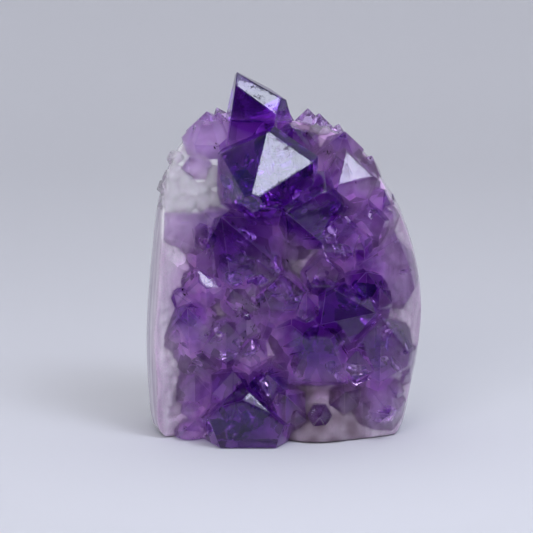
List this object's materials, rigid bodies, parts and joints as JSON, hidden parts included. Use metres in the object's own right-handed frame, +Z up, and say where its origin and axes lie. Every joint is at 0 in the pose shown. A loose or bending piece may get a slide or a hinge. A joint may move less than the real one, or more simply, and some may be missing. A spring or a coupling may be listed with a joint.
{
  "type": "amethyst cluster",
  "caption": "Free-standing mineral specimen: a druse of short purple quartz crystals on a slab of milky quartz with polished edges and a sawn flat base.",
  "frame": {"origin": "middle of the bounding box's bottom, on the plane of the sawn base", "axes": "+Z up, along the height; the druse faces -Y and the rough back faces +Y; +X runs across the width"},
  "size_m": [0.0618, 0.0446, 0.0804],
  "materials": {
    "milky_quartz": "satin to polished side wall, rough back",
    "amethyst": "clear crystal faces, purple by absorption",
    "pale_amethyst": "clear crystal faces, pale lilac by absorption"
  },
  "bodies": {
    "root": {"matrix": "milky_quartz", "druse": "amethyst", "summit_crystals": "pale_amethyst", "crest_crystals_1": "pale_amethyst", "crest_crystals_2": "pale_amethyst", "lone_crystal": "pale_amethyst"}
  },
  "joints": []
}
